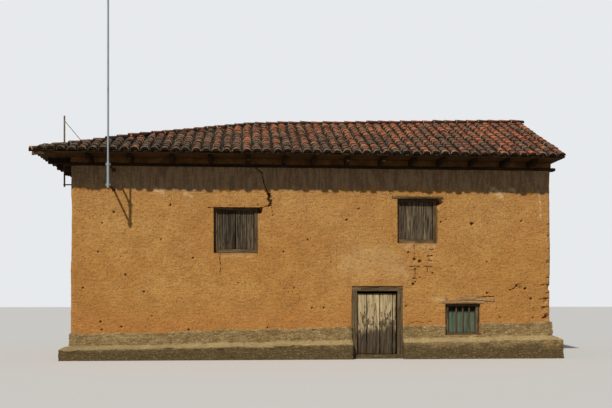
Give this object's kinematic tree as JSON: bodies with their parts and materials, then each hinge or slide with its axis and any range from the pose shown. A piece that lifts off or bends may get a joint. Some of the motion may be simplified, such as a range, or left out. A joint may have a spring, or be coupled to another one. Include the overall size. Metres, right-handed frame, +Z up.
{
  "type": "adobe house",
  "caption": "Long two-storey adobe house with a rubble plinth, a tiled roof with one gable and one hip, shuttered windows and a low plank door.",
  "frame": {"origin": "centre of the footprint at the lowest ground level, under the ground floor", "axes": "+X right along the front as seen from outside, +Y from the front into the house, +Z up"},
  "size_m": [14.1461, 7.3773, 9.5],
  "materials": {
    "adobe": "matt mud render",
    "rubble_plinth": "rough",
    "packed_mud": "matt",
    "old_timber": "weathered",
    "inner_timber": "rough sawn",
    "weathered_boards": "weathered",
    "painted_board": "faded paint",
    "clay_tile": "matt, lichen",
    "black_iron": "rusty",
    "galvanised_tube": "galvanised"
  },
  "bodies": {
    "house": {"front_wall_lower_left": "adobe", "front_wall_lower_right": "adobe", "front_wall_upper": "adobe", "back_wall_lower": "adobe", "back_wall_upper": "adobe", "left_wall": "adobe", "right_wall": "adobe", "plinth_front_left": "rubble_plinth", "plinth_front_right": "rubble_plinth", "plinth_left": "rubble_plinth", "plinth_right": "rubble_plinth", "plinth_back": "rubble_plinth", "door_threshold": "rubble_plinth", "eave_packing": "packed_mud", "beam_filling": "packed_mud", "ground_floor": "packed_mud", "wall_plates": "old_timber", "eave_joists": "old_timber", "eave_boards": "old_timber", "lintels": "old_timber", "door_frame": "old_timber", "upper_window_frames": "old_timber", "small_window_frame": "old_timber", "upper_floor_joists": "inner_timber", "upper_floor_boards": "inner_timber", "rafters": "inner_timber", "hip_rafters": "inner_timber", "ridge_beam": "inner_timber", "ridge_posts": "inner_timber", "roof_deck": "inner_timber", "upper_window_shutters": "weathered_boards", "small_window_panel": "painted_board", "roof_tiles_front": "clay_tile", "roof_tiles_back": "clay_tile", "roof_tiles_left": "clay_tile", "ridge_tiles": "clay_tile", "hip_tiles": "clay_tile", "hinge_pintles": "black_iron", "mast": "galvanised_tube", "service_mast": "galvanised_tube", "mast_brackets": "galvanised_tube"},
    "door_leaf": {"door_boards": "weathered_boards", "door_ledges": "weathered_boards", "door_ironwork": "black_iron"}
  },
  "joints": [
    {"name": "door_hinge", "type": "hinge", "parent": "house", "child": "door_leaf", "pos_m": [1.111, -2.598, 0.13], "axis": [0, 0, 1], "range_deg": [0, 100]}
  ]
}
